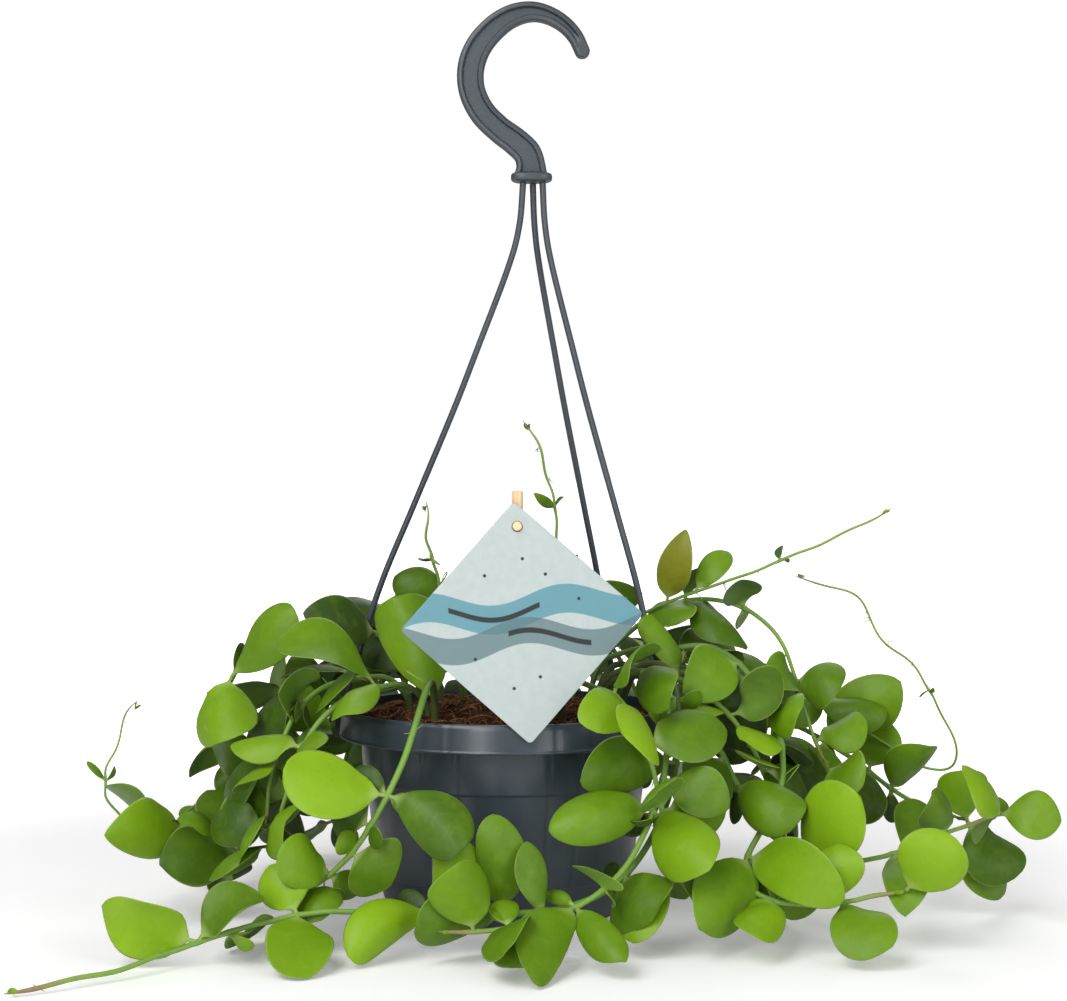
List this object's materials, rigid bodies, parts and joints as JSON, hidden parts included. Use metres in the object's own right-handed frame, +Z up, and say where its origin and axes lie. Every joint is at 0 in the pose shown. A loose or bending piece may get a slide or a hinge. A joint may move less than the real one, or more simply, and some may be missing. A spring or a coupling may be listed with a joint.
{
  "type": "trailing dischidia plant in a hanging pot",
  "caption": "Trailing dischidia with round fleshy leaves in a dark plastic hanging pot with soil, clip-on three-arm hanger, hook and a card on a stick.",
  "frame": {"origin": "middle of the pot's flat base, on the surface that it stands on", "axes": "+Z up along the pot's axis, +X to the right as seen from the front, -Y towards the front, where the card is"},
  "size_m": [0.4265, 0.3284, 0.41],
  "materials": {
    "pot_plastic": "satin moulded, dark slate grey",
    "hanger_plastic": "satin moulded, slate grey",
    "potting_soil": "rough, fibrous",
    "printed_card": "matt printed",
    "light_wood": "plain sanded",
    "foliage": "waxy leaf"
  },
  "bodies": {
    "root": {"arm_back": "hanger_plastic", "arm_left": "hanger_plastic", "arm_right": "hanger_plastic", "back_a": "foliage", "back_b": "foliage", "back_c": "foliage", "back_d": "foliage", "back_e": "foliage", "back_f": "foliage", "back_g": "foliage", "back_sprig": "foliage", "card": "printed_card", "front_right": "foliage", "front_stem": "foliage", "hook": "hanger_plastic", "left_arch": "foliage", "left_curl": "foliage", "left_far": "foliage", "left_front": "foliage", "left_low": "foliage", "left_sprig": "foliage", "left_tendril": "foliage", "long_trail": "foliage", "pot": "pot_plastic", "right_back": "foliage", "right_far": "foliage", "right_hoop": "foliage", "right_low": "foliage", "right_main": "foliage", "right_tendril": "foliage", "right_thin_up": "foliage", "second_trail": "foliage", "side_left": "foliage", "side_right": "foliage", "soil": "potting_soil", "stick": "light_wood"}
  },
  "joints": []
}
